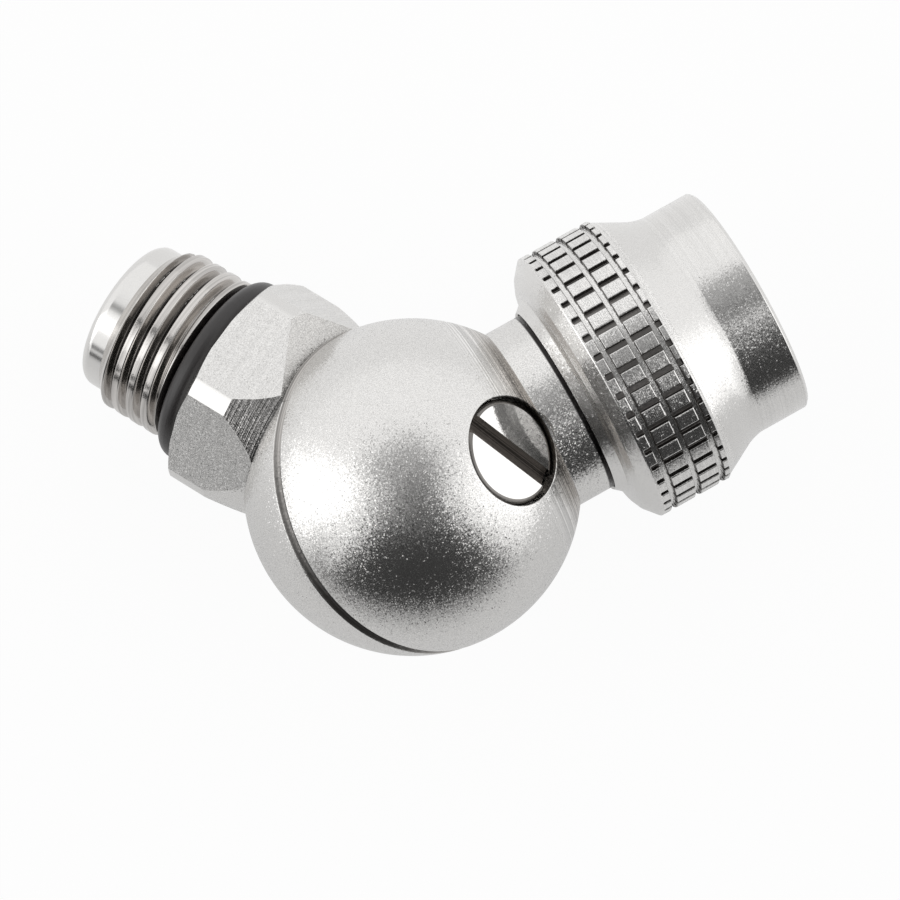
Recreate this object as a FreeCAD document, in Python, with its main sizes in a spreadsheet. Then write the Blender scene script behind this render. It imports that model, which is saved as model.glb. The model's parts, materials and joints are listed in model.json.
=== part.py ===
import FreeCAD, Part
import Sketcher
import math
import os

# Hose swivel in two ball halves, with a threaded hexagon arm and a knurled coupling nut.
# All lengths are in millimetres and all angles in degrees.
# Each piece is drawn in its own frame with the ball centre as its origin:
# the pivot pieces have Z along the swivel axis, the male body has Z along its threaded arm,
# and the swivel body, the nozzle and the nut have Z along the neck.

doc = FreeCAD.newDocument("HoseSwivel")
sheet = doc.addObject("Spreadsheet::Sheet", "Sizes")

# Sizes that are chosen, each written once.
CHOSEN = [
    ("ball_radius", 13.3),
    ("arm_lean", 53.5),
    ("swivel_turn", 81),
    ("rest_yaw", -54.36),
    ("rest_pitch", 13.28),
    ("rest_roll", -39.73),
    ("running_gap", 0.05),
    ("slip_gap", 0.03),
    ("ring_gap", 0.02),
    ("split_gap", 0.5),
    ("split_height", 0.4),
    ("rim_break", 0.4),
    # pivot bolt
    ("journal_radius", 3.4),
    ("bolt_thread_radius", 3.0),
    ("bolt_bore", 1.6),
    ("bolt_bore_top", 5.0),
    ("head_radius", 4.15),
    ("head_drop", 1.0),
    ("head_thick", 1.9),
    ("head_bevel", 0.45),
    ("head_play", 0.2),
    ("slot_width", 1.15),
    ("slot_depth", 1.05),
    ("slot_turn", 20.3),
    ("shoulder_depth", 5.9),
    ("bolt_thread_length", 4.3),
    ("bolt_end_play", 0.5),
    ("bolt_end_break", 0.3),
    ("tap_tip_ratio", 0.25),
    ("head_washer_thick", 0.4),
    ("split_washer_inner", 4.2),
    ("split_washer_inset", 1.0),
    # seals on the pivot bolt
    ("pivot_seal_depth", 0.9),
    ("pivot_seal_width", 1.3),
    ("head_seal_height", 6.9),
    ("face_seal_height", 1.45),
    ("base_seal_height", -1.3),
    # gas passages
    ("chamber_height", 3.9),
    ("chamber_width", 2.8),
    ("chamber_radius", 5.2),
    ("cross_hole_radius", 0.9),
    ("passage_radius", 2.0),
    ("passage_start", 6.3),
    # male arm
    ("cone_start", 9.0),
    ("cone_start_radius", 8.3),
    ("hex_corner_radius", 9.4),
    ("hex_across", 17.0),
    ("hex_turn", 37),
    ("hex_cut_start", 10.2),
    ("cone_end", 13.55),
    ("hex_chamfer_start", 16.95),
    ("hex_chamfer_drop", 0.8),
    ("hex_face", 17.4),
    ("undercut_radius", 6.0),
    ("undercut_width", 2.1),
    ("male_thread_radius", 7.14),
    ("male_thread_length", 5.6),
    ("thread_chamfer", 0.45),
    ("nose_radius", 6.3),
    ("nose_end", 28.0),
    ("nose_round", 0.9),
    ("nose_bore_radius", 4.3),
    ("nose_bore_depth", 7.8),
    ("nose_bore_cone_length", 0.6),
    ("nose_bore_break", 0.5),
    ("thread_ring_section", 1.98),
    # neck of the swivel body
    ("neck_radius", 7.7),
    ("neck_end", 15.2),
    ("spigot_radius", 6.1),
    ("spigot_end", 17.3),
    ("nozzle_thread_radius", 4.0),
    ("nozzle_thread_start", 12.4),
    ("nozzle_shank_play", 0.3),
    # nozzle that holds the nut and enters the mating nose
    ("nozzle_bore", 1.8),
    ("nozzle_flange_radius", 7.0),
    ("nozzle_flange_thick", 1.6),
    ("nozzle_stem_radius", 4.15),
    ("nozzle_end", 22.3),
    ("nozzle_break", 0.3),
    ("nozzle_seal_depth", 0.85),
    ("nozzle_seal_width", 1.3),
    ("nozzle_seal_back", 2.1),
    ("nozzle_ring_section", 1.0),
    ("nozzle_hex_across", 4.0),
    ("nozzle_hex_depth", 1.9),
    ("nozzle_base_ring_section", 0.91),
    # coupling nut
    ("nut_back", 13.85),
    ("nut_skirt_gap", 0.1),
    ("nut_web_gap", 0.05),
    ("nut_web_thick", 1.6),
    ("nut_lip_break", 0.15),
    ("collar_lip_length", 0.8),
    ("collar_lip_rise", 0.7),
    ("collar_step_radius", 9.75),
    ("collar_step_length", 1.0),
    ("collar_edge_radius", 10.5),
    ("collar_edge_length", 1.35),
    ("collar_cone_length", 2.27),
    ("knurl_radius", 11.6),
    ("knurl_end", 22.2),
    ("knurl_break", 0.2),
    ("waist_cone_end", 24.6),
    ("waist_cone_radius", 10.22),
    ("waist_round_radius", 4.5),
    ("barrel_start", 26.3),
    ("barrel_radius", 9.66),
    ("nut_end", 30.55),
    ("barrel_break", 0.3),
    ("nut_thread_radius", 7.19),
    ("nut_thread_start", 22.8),
    ("nut_relief_radius", 7.6),
    ("nut_mouth_break", 0.7),
    ("groove_width", 0.48),
    ("groove_depth", 0.42),
    ("groove_first", 17.17),
    ("groove_second", 19.34),
    ("groove_third", 21.5),
    ("slots", 42),
    ("knurl_slot_width", 0.5),
    ("knurl_slot_depth", 0.38),
    ("knurl_slot_start", 16.28),
    ("nut_turn", 0.9),
    # room that cutting outlines leave past the metal
    ("cut_room", 0.5),
    ("slot_run_out", 0.2),
    ("clear_ratio", 1.4),
]

# Sizes that follow from the chosen ones.
DERIVED = [
    ("male_lean", "=arm_lean + 180"),
    ("back_face", "=split_height - split_gap"),
    ("back_chamfer_edge", "=ball_radius - rim_break"),
    ("back_chamfer_low", "=back_face - rim_break"),
    ("clear_of_ball", "=ball_radius * clear_ratio"),
    ("neck_clear", "=ball_radius + 2 * cut_room"),
    ("bolt_hole_radius", "=journal_radius + running_gap"),
    ("tapped_radius", "=bolt_thread_radius + slip_gap"),
    ("bolt_bore_tip", "=bolt_bore_top + bolt_bore / 2"),
    ("head_top", "=ball_radius - head_drop"),
    ("head_under", "=head_top - head_thick"),
    ("head_edge", "=head_top - head_bevel"),
    ("head_face_radius", "=head_radius - head_bevel"),
    ("spotface_radius", "=head_radius + head_play"),
    ("seat_height", "=head_under - head_washer_thick - 2 * slip_gap"),
    ("head_washer_low", "=seat_height + slip_gap"),
    ("head_washer_high", "=head_under - slip_gap"),
    ("washer_inner", "=bolt_hole_radius + running_gap"),
    ("head_washer_outer", "=head_radius - running_gap"),
    ("split_washer_low", "=back_face + slip_gap"),
    ("split_washer_high", "=split_height - slip_gap"),
    ("split_washer_outer", "=ball_radius - split_washer_inset"),
    ("shoulder_low", "=-shoulder_depth - slip_gap"),
    ("shoulder_seat", "=-shoulder_depth"),
    ("bolt_shoulder", "=-shoulder_depth + slip_gap"),
    ("bolt_end", "=-shoulder_depth - bolt_thread_length"),
    ("bolt_end_chamfer", "=bolt_end + bolt_end_break"),
    ("bolt_end_radius", "=bolt_thread_radius - bolt_end_break"),
    ("tapped_end", "=bolt_end - bolt_end_play"),
    ("tapped_tip", "=tapped_end - tapped_radius * tap_tip_ratio"),
    ("pivot_groove_radius", "=journal_radius - pivot_seal_depth"),
    ("head_seal_low", "=head_seal_height - pivot_seal_width / 2"),
    ("head_seal_high", "=head_seal_height + pivot_seal_width / 2"),
    ("face_seal_low", "=face_seal_height - pivot_seal_width / 2"),
    ("face_seal_high", "=face_seal_height + pivot_seal_width / 2"),
    ("base_seal_low", "=base_seal_height - pivot_seal_width / 2"),
    ("base_seal_high", "=base_seal_height + pivot_seal_width / 2"),
    ("pivot_ring_section", "=(bolt_hole_radius - pivot_groove_radius) / 2 - ring_gap"),
    ("pivot_ring_centre", "=(bolt_hole_radius + pivot_groove_radius) / 2"),
    ("chamber_low", "=chamber_height - chamber_width / 2"),
    ("chamber_high", "=chamber_height + chamber_width / 2"),
    ("hex_chamfer_radius", "=hex_corner_radius - hex_chamfer_drop"),
    ("hex_half", "=hex_across / 2"),
    ("hex_side", "=hex_half * tan(30)"),
    ("hex_point", "=2 * hex_side"),
    ("hex_cut_length", "=hex_face - hex_cut_start + cut_room"),
    ("undercut_end", "=hex_face + undercut_width"),
    ("thread_first", "=undercut_end + thread_chamfer"),
    ("thread_last", "=thread_first + male_thread_length - thread_chamfer"),
    ("thread_run_out", "=thread_last + male_thread_radius - nose_radius"),
    ("nose_round_start", "=nose_end - nose_round"),
    ("nose_face_radius", "=nose_radius - nose_round"),
    ("nose_bore_end", "=nose_end - nose_bore_depth"),
    ("nose_bore_cone", "=nose_bore_end - nose_bore_cone_length"),
    ("nose_bore_chamfer", "=nose_end - nose_bore_break"),
    ("nose_bore_mouth", "=nose_bore_radius + nose_bore_break"),
    ("thread_ring_radius", "=thread_ring_section / 2"),
    ("thread_ring_centre", "=undercut_radius + ring_gap + thread_ring_radius"),
    ("thread_ring_height", "=hex_face + ring_gap + thread_ring_radius"),
    ("nozzle_tapped_radius", "=nozzle_thread_radius + slip_gap"),
    ("nozzle_shank_end", "=nozzle_thread_start + nozzle_shank_play"),
    ("nozzle_shank_break", "=nozzle_shank_end + nozzle_break"),
    ("nozzle_shank_tip", "=nozzle_thread_radius - nozzle_break"),
    ("counterbore_radius", "=nozzle_thread_radius + nozzle_base_ring_section + 2 * ring_gap"),
    ("counterbore_start", "=spigot_end - nozzle_base_ring_section - 2 * ring_gap"),
    ("base_ring_radius", "=nozzle_base_ring_section / 2"),
    ("base_ring_centre", "=nozzle_thread_radius + ring_gap + base_ring_radius"),
    ("base_ring_height", "=counterbore_start + ring_gap + base_ring_radius"),
    ("flange_back", "=spigot_end + slip_gap"),
    ("flange_front", "=flange_back + nozzle_flange_thick"),
    ("nozzle_seal_high", "=nozzle_end - nozzle_seal_back + nozzle_seal_width"),
    ("nozzle_seal_low", "=nozzle_end - nozzle_seal_back"),
    ("nozzle_groove_radius", "=nozzle_stem_radius - nozzle_seal_depth"),
    ("nozzle_tip_break", "=nozzle_end - nozzle_break"),
    ("nozzle_tip_radius", "=nozzle_stem_radius - nozzle_break"),
    ("nozzle_ring_radius", "=nozzle_ring_section / 2"),
    ("nozzle_ring_centre", "=nozzle_groove_radius + ring_gap + nozzle_ring_radius"),
    ("nozzle_ring_height", "=nozzle_seal_low + nozzle_seal_width / 2"),
    ("nozzle_hex_half", "=nozzle_hex_across / 2"),
    ("nozzle_hex_side", "=nozzle_hex_half * tan(30)"),
    ("nozzle_hex_point", "=2 * nozzle_hex_side"),
    ("skirt_radius", "=neck_radius + nut_skirt_gap"),
    ("skirt_mouth", "=skirt_radius + nut_lip_break"),
    ("skirt_break", "=nut_back + nut_lip_break"),
    ("web_back", "=neck_end + nut_web_gap"),
    ("web_front", "=web_back + nut_web_thick"),
    ("web_radius", "=spigot_radius + nut_skirt_gap"),
    ("collar_lip_end", "=nut_back + collar_lip_length"),
    ("collar_lip_radius", "=skirt_mouth + collar_lip_rise"),
    ("collar_step", "=nut_back + collar_step_length"),
    ("collar_edge", "=nut_back + collar_edge_length"),
    ("collar_cone_end", "=nut_back + collar_cone_length"),
    ("knurl_chamfer", "=knurl_radius - knurl_break"),
    ("knurl_edge", "=knurl_end + knurl_break"),
    ("barrel_edge", "=nut_end - barrel_break"),
    ("barrel_face_radius", "=barrel_radius - barrel_break"),
    ("nut_mouth_radius", "=nut_thread_radius + nut_mouth_break"),
    ("nut_mouth_end", "=nut_end - nut_mouth_break"),
    ("nut_relief_end", "=nut_thread_start - nut_relief_radius + nut_thread_radius"),
    ("nut_washer_low", "=web_front + slip_gap"),
    ("nut_washer_high", "=flange_back - slip_gap"),
    ("nut_washer_inner", "=spigot_radius + running_gap"),
    ("nut_washer_outer", "=nozzle_flange_radius - running_gap"),
    ("groove_floor", "=knurl_radius - groove_depth"),
    ("knurl_clear", "=knurl_radius + cut_room"),
    ("slot_floor", "=knurl_radius - knurl_slot_depth"),
    ("slot_half", "=knurl_slot_width / 2"),
    ("slot_cut", "=knurl_slot_depth + 2 * cut_room"),
    ("slot_reach", "=knurl_edge + slot_run_out"),
    ("drive_half", "=slot_width / 2"),
    ("drive_reach", "=head_radius + cut_room"),
]

row = 1
for alias, amount in CHOSEN:
    sheet.set("A%d" % row, alias)
    sheet.set("B%d" % row, str(amount))
    sheet.setAlias("B%d" % row, alias)
    row += 1
for alias, formula in DERIVED:
    sheet.set("A%d" % row, alias)
    sheet.set("B%d" % row, formula)
    sheet.setAlias("B%d" % row, alias)
    row += 1
doc.recompute()


def size(word):
    """The number behind a size's name, or behind its name with a minus sign."""
    if word == "0":
        return 0.0
    if word.startswith("-"):
        return -float(sheet.get(word[1:]))
    return float(sheet.get(word))


def bound(word):
    """The expression that ties a constraint to a size."""
    if word.startswith("-"):
        return "-Sizes." + word[1:]
    return "Sizes." + word


def new_body(name):
    body = doc.addObject("PartDesign::Body", name)
    body.Label = name
    return body


def origin_plane(body, role):
    for feature in body.Origin.OriginFeatures:
        if feature.Role == role:
            return feature
    raise RuntimeError("no plane " + role)


def new_sketch(body, name, role, turn=None, lift=None):
    """A sketch on one of the body's own planes, turned in its plane or lifted off it by a size."""
    sketch = body.newObject("Sketcher::SketchObject", name)
    sketch.AttachmentSupport = (origin_plane(body, role), [""])
    sketch.MapMode = "FlatFace"
    sketch.AttachmentOffset = FreeCAD.Placement(
        FreeCAD.Vector(0, 0, 0), FreeCAD.Rotation(FreeCAD.Vector(0, 0, 1), 1e-9)
    )
    if turn:
        sketch.setExpression("AttachmentOffset.Rotation.Angle", bound(turn))
    if lift:
        sketch.setExpression("AttachmentOffset.Base.z", bound(lift))
    return sketch


def pin_point(sketch, edge, end, across, along):
    """Holds one end of an edge at two sizes measured from the sketch's origin."""
    if across == "0":
        sketch.addConstraint(Sketcher.Constraint("PointOnObject", edge, end, -2))
    else:
        at = sketch.addConstraint(
            Sketcher.Constraint("DistanceX", -1, 1, edge, end, size(across))
        )
        sketch.setExpression("Constraints[%d]" % at, bound(across))
    if along == "0":
        sketch.addConstraint(Sketcher.Constraint("PointOnObject", edge, end, -1))
    else:
        at = sketch.addConstraint(
            Sketcher.Constraint("DistanceY", -1, 1, edge, end, size(along))
        )
        sketch.setExpression("Constraints[%d]" % at, bound(along))


def arc_between(start, finish, radius, side):
    """An arc from start to finish with its centre on the left (1) or the right (-1) of the way."""
    middle = (start + finish) * 0.5
    way = finish - start
    half = way.Length / 2
    left = FreeCAD.Vector(-way.y, way.x, 0) / way.Length
    centre = middle + left * (side * math.sqrt(max(radius * radius - half * half, 0)))
    first = math.atan2(start.y - centre.y, start.x - centre.x)
    last = math.atan2(finish.y - centre.y, finish.x - centre.x)
    circle = Part.Circle(centre, FreeCAD.Vector(0, 0, 1), radius)
    if side > 0:
        return Part.ArcOfCircle(circle, first, last)
    return Part.ArcOfCircle(circle, last, first)


def add_outline(sketch, corners):
    """A closed outline. A corner is (across, along), with (radius, side) added where an arc leaves it."""
    count = len(corners)
    points = [FreeCAD.Vector(size(c[0]), size(c[1]), 0) for c in corners]
    starts = []
    ends = []
    for i in range(count):
        after = points[(i + 1) % count]
        if len(corners[i]) == 4:
            radius = corners[i][2]
            side = corners[i][3]
            edge = sketch.addGeometry(arc_between(points[i], after, size(radius), side))
            starts.append((edge, 1 if side > 0 else 2))
            ends.append((edge, 2 if side > 0 else 1))
        else:
            edge = sketch.addGeometry(Part.LineSegment(points[i], after))
            starts.append((edge, 1))
            ends.append((edge, 2))
    for i in range(count):
        here = starts[i]
        before = ends[i - 1]
        sketch.addConstraint(
            Sketcher.Constraint("Coincident", before[0], before[1], here[0], here[1])
        )
    for i in range(count):
        pin_point(sketch, starts[i][0], starts[i][1], corners[i][0], corners[i][1])
        if len(corners[i]) == 4:
            at = sketch.addConstraint(
                Sketcher.Constraint("Radius", starts[i][0], size(corners[i][2]))
            )
            sketch.setExpression("Constraints[%d]" % at, bound(corners[i][2]))


def add_circle(sketch, across, along, radius):
    centre = FreeCAD.Vector(size(across), size(along), 0)
    up = FreeCAD.Vector(0, 0, 1)
    edge = sketch.addGeometry(Part.Circle(centre, up, size(radius)))
    pin_point(sketch, edge, 3, across, along)
    at = sketch.addConstraint(Sketcher.Constraint("Radius", edge, size(radius)))
    sketch.setExpression("Constraints[%d]" % at, bound(radius))


def turned(body, name, kind, corners, turn=None):
    """Turns an outline right round, about Z or about the axis that leans from it by a size."""
    sketch = new_sketch(body, name + "_outline", "XZ_Plane", turn)
    add_outline(sketch, corners)
    feature = body.newObject(kind, name)
    feature.Profile = sketch
    feature.ReferenceAxis = (sketch, ["V_Axis"])
    feature.Angle = 360
    doc.recompute()
    return feature


def add_turned(body, name, corners):
    return turned(body, name, "PartDesign::Revolution", corners)


def cut_turned(body, name, corners, turn=None):
    before = body.Shape.Volume
    feature = turned(body, name, "PartDesign::Groove", corners, turn)
    if body.Shape.Volume >= before:
        raise RuntimeError(name + " removed nothing")
    return feature


def cut_pocket(body, sketch, name, depth=None, away=False, both=False):
    """Cuts a sketch into the body by a size, or right through both ways."""
    before = body.Shape.Volume
    pocket = body.newObject("PartDesign::Pocket", name)
    pocket.Profile = sketch
    if depth:
        pocket.Type = "Length"
        pocket.setExpression("Length", bound(depth))
    else:
        pocket.Type = "ThroughAll"
    pocket.Reversed = away
    pocket.Midplane = both
    doc.recompute()
    if body.Shape.Volume >= before:
        raise RuntimeError(name + " removed nothing")
    return pocket


def add_ball(body):
    ball = body.newObject("PartDesign::AdditiveSphere", body.Name + "_ball")
    ball.setExpression("Radius", "Sizes.ball_radius")
    doc.recompute()
    return ball


def ring_body(name, across, along, section):
    """A sealing ring with a round section."""
    body = new_body(name)
    sketch = new_sketch(body, name + "_section", "XZ_Plane")
    add_circle(sketch, across, along, section)
    ring = body.newObject("PartDesign::Revolution", name + "_ring")
    ring.Profile = sketch
    ring.ReferenceAxis = (sketch, ["V_Axis"])
    ring.Angle = 360
    doc.recompute()
    return body


def washer_body(name, inner, outer, low, high):
    body = new_body(name)
    corners = [(inner, low), (outer, low), (outer, high), (inner, high)]
    add_turned(body, name + "_disc", corners)
    return body


def hexagon(half, side, point):
    return [
        (half, "-" + side),
        (half, side),
        ("0", point),
        ("-" + half, side),
        ("-" + half, "-" + side),
        ("0", "-" + point),
    ]


def make_male_body():
    """Back ball half with the hexagon, the threaded stub and the polished nose."""
    body = new_body("male_body")
    add_ball(body)
    add_turned(
        body,
        "arm",
        [
            ("0", "cone_start"),
            ("cone_start_radius", "cone_start"),
            ("hex_corner_radius", "cone_end"),
            ("hex_corner_radius", "hex_chamfer_start"),
            ("hex_chamfer_radius", "hex_face"),
            ("undercut_radius", "hex_face"),
            ("undercut_radius", "undercut_end"),
            ("nose_radius", "undercut_end"),
            ("male_thread_radius", "thread_first"),
            ("male_thread_radius", "thread_last"),
            ("nose_radius", "thread_run_out"),
            ("nose_radius", "nose_round_start", "nose_round", 1),
            ("nose_face_radius", "nose_end"),
            ("0", "nose_end"),
        ],
    )
    flats = new_sketch(body, "flats_outline", "XY_Plane", "hex_turn", "hex_cut_start")
    add_outline(flats, hexagon("hex_half", "hex_side", "hex_point"))
    add_circle(flats, "0", "0", "ball_radius")
    cut_pocket(body, flats, "flats", "hex_cut_length", away=True)
    cut_turned(
        body,
        "split_cut",
        [
            ("0", "back_face"),
            ("back_chamfer_edge", "back_face"),
            ("ball_radius", "back_chamfer_low"),
            ("clear_of_ball", "back_chamfer_low"),
            ("clear_of_ball", "clear_of_ball"),
            ("0", "clear_of_ball"),
        ],
        "male_lean",
    )
    cut_turned(
        body,
        "pivot_hole",
        [
            ("0", "split_height"),
            ("bolt_hole_radius", "split_height"),
            ("bolt_hole_radius", "-chamber_low"),
            ("chamber_radius", "-chamber_low"),
            ("chamber_radius", "-chamber_high"),
            ("bolt_hole_radius", "-chamber_high"),
            ("bolt_hole_radius", "shoulder_seat"),
            ("tapped_radius", "shoulder_seat"),
            ("tapped_radius", "tapped_end"),
            ("0", "tapped_tip"),
        ],
        "male_lean",
    )
    cut_turned(
        body,
        "gas_way",
        [
            ("0", "passage_start"),
            ("passage_radius", "passage_start"),
            ("passage_radius", "nose_bore_cone"),
            ("nose_bore_radius", "nose_bore_end"),
            ("nose_bore_radius", "nose_bore_chamfer"),
            ("nose_bore_mouth", "nose_end"),
            ("0", "nose_end"),
        ],
    )
    return body


def make_swivel_body():
    """Front ball half with the neck that carries the coupling nut."""
    body = new_body("swivel_body")
    add_ball(body)
    add_turned(
        body,
        "neck",
        [
            ("0", "cone_start"),
            ("neck_radius", "cone_start"),
            ("neck_radius", "neck_end"),
            ("spigot_radius", "neck_end"),
            ("spigot_radius", "spigot_end"),
            ("0", "spigot_end"),
        ],
    )
    cut_turned(
        body,
        "split_cut",
        [
            ("0", "split_height"),
            ("neck_clear", "split_height"),
            ("neck_clear", "-clear_of_ball"),
            ("0", "-clear_of_ball"),
        ],
        "arm_lean",
    )
    cut_turned(
        body,
        "pivot_hole",
        [
            ("0", "back_face"),
            ("bolt_hole_radius", "back_face"),
            ("bolt_hole_radius", "chamber_low"),
            ("chamber_radius", "chamber_low"),
            ("chamber_radius", "chamber_high"),
            ("bolt_hole_radius", "chamber_high"),
            ("bolt_hole_radius", "seat_height"),
            ("spotface_radius", "seat_height"),
            ("spotface_radius", "clear_of_ball"),
            ("0", "clear_of_ball"),
        ],
        "arm_lean",
    )
    cut_turned(
        body,
        "gas_way",
        [
            ("0", "passage_start"),
            ("passage_radius", "passage_start"),
            ("passage_radius", "nozzle_thread_start"),
            ("nozzle_tapped_radius", "nozzle_thread_start"),
            ("nozzle_tapped_radius", "counterbore_start"),
            ("counterbore_radius", "counterbore_start"),
            ("counterbore_radius", "spigot_end"),
            ("0", "spigot_end"),
        ],
    )
    return body


def make_pivot_bolt():
    """Hollow slotted bolt that joins the halves, with three ring grooves and two rows of cross holes."""
    body = new_body("pivot_bolt")
    add_turned(
        body,
        "shank",
        [
            ("0", "bolt_bore_tip"),
            ("bolt_bore", "bolt_bore_top"),
            ("bolt_bore", "bolt_end"),
            ("bolt_end_radius", "bolt_end"),
            ("bolt_thread_radius", "bolt_end_chamfer"),
            ("bolt_thread_radius", "bolt_shoulder"),
            ("journal_radius", "bolt_shoulder"),
            ("journal_radius", "base_seal_low"),
            ("pivot_groove_radius", "base_seal_low"),
            ("pivot_groove_radius", "base_seal_high"),
            ("journal_radius", "base_seal_high"),
            ("journal_radius", "face_seal_low"),
            ("pivot_groove_radius", "face_seal_low"),
            ("pivot_groove_radius", "face_seal_high"),
            ("journal_radius", "face_seal_high"),
            ("journal_radius", "head_seal_low"),
            ("pivot_groove_radius", "head_seal_low"),
            ("pivot_groove_radius", "head_seal_high"),
            ("journal_radius", "head_seal_high"),
            ("journal_radius", "head_under"),
            ("head_radius", "head_under"),
            ("head_radius", "head_edge"),
            ("head_face_radius", "head_top"),
            ("0", "head_top"),
        ],
    )
    for role in ("XZ_Plane", "YZ_Plane"):
        holes = new_sketch(body, "cross_holes_" + role[:2], role)
        for height in ("chamber_height", "-chamber_height"):
            add_circle(holes, "0", height, "cross_hole_radius")
        cut_pocket(body, holes, "cross_cut_" + role[:2], both=True)
    slot = new_sketch(body, "slot_outline", "XY_Plane", "slot_turn", "head_top")
    add_outline(
        slot,
        [
            ("-drive_reach", "-drive_half"),
            ("drive_reach", "-drive_half"),
            ("drive_reach", "drive_half"),
            ("-drive_reach", "drive_half"),
        ],
    )
    cut_pocket(body, slot, "slot", "slot_depth")
    return body


def make_nozzle():
    """Screwed stem that keeps the nut on the neck and seals in the mating nose."""
    body = new_body("nozzle")
    add_turned(
        body,
        "stem",
        [
            ("nozzle_bore", "nozzle_shank_end"),
            ("nozzle_shank_tip", "nozzle_shank_end"),
            ("nozzle_thread_radius", "nozzle_shank_break"),
            ("nozzle_thread_radius", "flange_back"),
            ("nozzle_flange_radius", "flange_back"),
            ("nozzle_flange_radius", "flange_front"),
            ("nozzle_stem_radius", "flange_front"),
            ("nozzle_stem_radius", "nozzle_seal_low"),
            ("nozzle_groove_radius", "nozzle_seal_low"),
            ("nozzle_groove_radius", "nozzle_seal_high"),
            ("nozzle_stem_radius", "nozzle_seal_high"),
            ("nozzle_stem_radius", "nozzle_tip_break"),
            ("nozzle_tip_radius", "nozzle_end"),
            ("nozzle_bore", "nozzle_end"),
        ],
    )
    socket = new_sketch(body, "socket_outline", "XY_Plane", None, "nozzle_end")
    add_outline(socket, hexagon("nozzle_hex_half", "nozzle_hex_side", "nozzle_hex_point"))
    cut_pocket(body, socket, "socket", "nozzle_hex_depth")
    return body


def make_coupling_nut():
    """Nut with three ring grooves crossed by straight slots, a waist and a plain barrel."""
    body = new_body("coupling_nut")
    add_turned(
        body,
        "nut_turning",
        [
            ("skirt_mouth", "nut_back"),
            ("collar_lip_radius", "collar_lip_end"),
            ("collar_step_radius", "collar_step"),
            ("collar_edge_radius", "collar_edge"),
            ("knurl_radius", "collar_cone_end"),
            ("knurl_radius", "knurl_end"),
            ("knurl_chamfer", "knurl_edge"),
            ("waist_cone_radius", "waist_cone_end", "waist_round_radius", -1),
            ("barrel_radius", "barrel_start"),
            ("barrel_radius", "barrel_edge"),
            ("barrel_face_radius", "nut_end"),
            ("nut_mouth_radius", "nut_end"),
            ("nut_thread_radius", "nut_mouth_end"),
            ("nut_thread_radius", "nut_thread_start"),
            ("nut_relief_radius", "nut_relief_end"),
            ("nut_relief_radius", "web_front"),
            ("web_radius", "web_front"),
            ("web_radius", "web_back"),
            ("skirt_radius", "web_back"),
            ("skirt_radius", "skirt_break"),
        ],
    )
    for name in ("groove_first", "groove_second", "groove_third"):
        sketch = new_sketch(body, name + "_outline", "XZ_Plane")
        before = body.Shape.Volume
        low = sketch.addGeometry(band_lines(name))
        hold_band(sketch, low, name)
        groove = body.newObject("PartDesign::Groove", name)
        groove.Profile = sketch
        groove.ReferenceAxis = (sketch, ["V_Axis"])
        groove.Angle = 360
        doc.recompute()
        if body.Shape.Volume >= before:
            raise RuntimeError(name + " removed nothing")
    slot = new_sketch(body, "knurl_slot_outline", "YZ_Plane", None, "slot_floor")
    add_outline(
        slot,
        [
            ("-slot_half", "knurl_slot_start"),
            ("slot_half", "knurl_slot_start"),
            ("slot_half", "slot_reach"),
            ("-slot_half", "slot_reach"),
        ],
    )
    first = cut_pocket(body, slot, "knurl_slot", "slot_cut", away=True)
    pattern = body.newObject("PartDesign::PolarPattern", "knurl_slots")
    pattern.Originals = [first]
    for feature in body.Origin.OriginFeatures:
        if feature.Role == "Z_Axis":
            pattern.Axis = (feature, [""])
    pattern.Angle = 360
    pattern.setExpression("Occurrences", "Sizes.slots")
    body.Tip = pattern
    doc.recompute()
    return body


def band_lines(name):
    """The four sides of a ring groove's section, centred on the groove's place along the nut."""
    half = size("groove_width") / 2
    low = size(name) - half
    high = size(name) + half
    inner = size("groove_floor")
    outer = size("knurl_clear")
    points = [(inner, low), (outer, low), (outer, high), (inner, high)]
    corners = [FreeCAD.Vector(x, y, 0) for x, y in points]
    return [Part.LineSegment(corners[i], corners[(i + 1) % 4]) for i in range(4)]


def hold_band(sketch, edges, name):
    """Ties a groove's section to its width, its floor and its place."""
    for i in range(4):
        after = edges[(i + 1) % 4]
        sketch.addConstraint(Sketcher.Constraint("Coincident", edges[i], 2, after, 1))
    for i in (0, 2):
        sketch.addConstraint(Sketcher.Constraint("Horizontal", edges[i]))
    for i in (1, 3):
        sketch.addConstraint(Sketcher.Constraint("Vertical", edges[i]))
    ties = [
        ("DistanceX", (-1, 1, edges[0], 1), size("groove_floor"), "Sizes.groove_floor"),
        ("DistanceX", (-1, 1, edges[0], 2), size("knurl_clear"), "Sizes.knurl_clear"),
        (
            "DistanceY",
            (-1, 1, edges[0], 1),
            size(name) - size("groove_width") / 2,
            "Sizes." + name + " - Sizes.groove_width / 2",
        ),
        ("DistanceY", (edges[0], 2, edges[2], 1), size("groove_width"), "Sizes.groove_width"),
    ]
    for kind, ends, amount, expression in ties:
        at = sketch.addConstraint(Sketcher.Constraint(kind, *ends, amount))
        sketch.setExpression("Constraints[%d]" % at, expression)


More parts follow.
